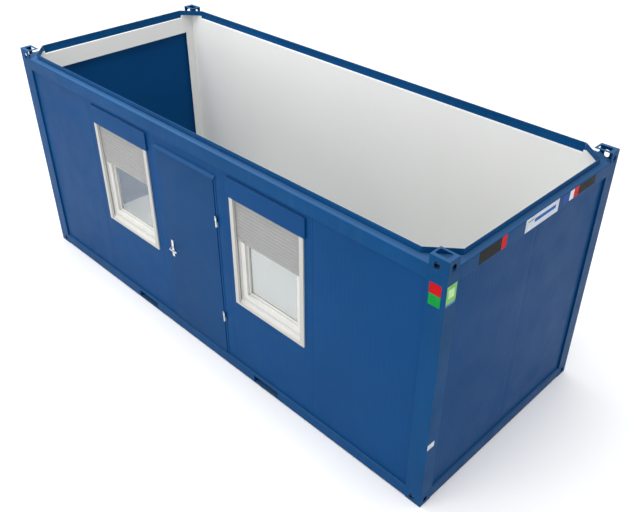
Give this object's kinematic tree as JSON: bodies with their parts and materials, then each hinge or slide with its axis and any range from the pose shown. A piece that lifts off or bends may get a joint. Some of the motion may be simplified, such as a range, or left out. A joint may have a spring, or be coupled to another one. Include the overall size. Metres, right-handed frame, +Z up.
{
  "type": "shipping container cabin",
  "caption": "Open-topped office cabin on a container frame, with roller-shuttered windows and a hinged front door worked by a lever handle.",
  "frame": {"origin": "middle of the base, on the plane the corner fittings stand on", "axes": "+X along the front wall to the right as seen from the front, +Y from the front to the back, +Z up"},
  "size_m": [6.055, 2.481, 2.591],
  "materials": {
    "frame_blue": "semi-gloss paint on folded steel",
    "member_steel": "zinc coated",
    "floor_plywood": "raw plywood",
    "floor_vinyl": "light grey sheet vinyl",
    "wall_blue": "semi-gloss coated sheet",
    "door_blue": "semi-gloss coated sheet",
    "lining_white": "matt white coated sheet",
    "window_white": "off-white window profile",
    "window_glass": "clear double glazing",
    "shutter_grey": "grey shutter slats",
    "threshold_aluminium": "mill finish",
    "hinge_steel": "bright zinc plated",
    "handle_aluminium": "satin anodised"
  },
  "bodies": {
    "cabin": {"floor_rail_front": "frame_blue", "floor_rail_back": "frame_blue", "floor_rail_left": "frame_blue", "floor_rail_right": "frame_blue", "floor_cross_members": "member_steel", "fork_pockets": "frame_blue", "floor_board": "floor_plywood", "floor_covering": "floor_vinyl", "bottom_fittings_left": "frame_blue", "bottom_fittings_right": "frame_blue", "top_fittings_left": "frame_blue", "top_fittings_right": "frame_blue", "corner_post_front_left": "frame_blue", "corner_post_front_right": "frame_blue", "corner_post_back_left": "frame_blue", "corner_post_back_right": "frame_blue", "roof_rail_front": "frame_blue", "roof_rail_back": "frame_blue", "roof_rail_left": "frame_blue", "roof_rail_right": "frame_blue", "roof_gussets": "frame_blue", "front_wall_left": "wall_blue", "front_wall_left_window": "wall_blue", "front_wall_beside_door_left": "wall_blue", "front_wall_over_door": "wall_blue", "front_wall_beside_door_right": "wall_blue", "front_wall_right_window": "wall_blue", "front_wall_right": "wall_blue", "back_wall": "wall_blue", "right_wall": "wall_blue", "left_wall_frame": "wall_blue", "left_wall_panel": "wall_blue", "front_lining": "lining_white", "back_lining": "lining_white", "right_lining": "lining_white", "left_lining": "lining_white", "window_frame_left": "window_white", "window_frame_right": "window_white", "window_sash_left": "window_white", "window_sash_right": "window_white", "window_glass_left": "window_glass", "window_glass_right": "window_glass", "shutter_box_left": "wall_blue", "shutter_box_right": "wall_blue", "shutter_curtain_left": "shutter_grey", "shutter_curtain_right": "shutter_grey", "door_frame": "wall_blue", "door_drip": "wall_blue", "door_threshold": "threshold_aluminium", "door_hinge_pins": "hinge_steel"},
    "door": {"door_leaf": "door_blue", "door_hinge_knuckles": "hinge_steel", "door_handle_plates": "handle_aluminium"},
    "lever": {"door_lever": "handle_aluminium"}
  },
  "joints": [
    {"name": "door_hinge", "type": "hinge", "parent": "cabin", "child": "door", "pos_m": [0.431, -1.2205, 0], "axis": [0, 0, 1], "range_deg": [0, 110]},
    {"name": "lever_turn", "type": "hinge", "parent": "door", "child": "lever", "pos_m": [-0.3745, -1.185, 1.105], "axis": [0, 1, 0], "range_deg": [0, 45], "stiffness_Nm_per_rad": 1.2, "springref_deg": -20.05}
  ]
}
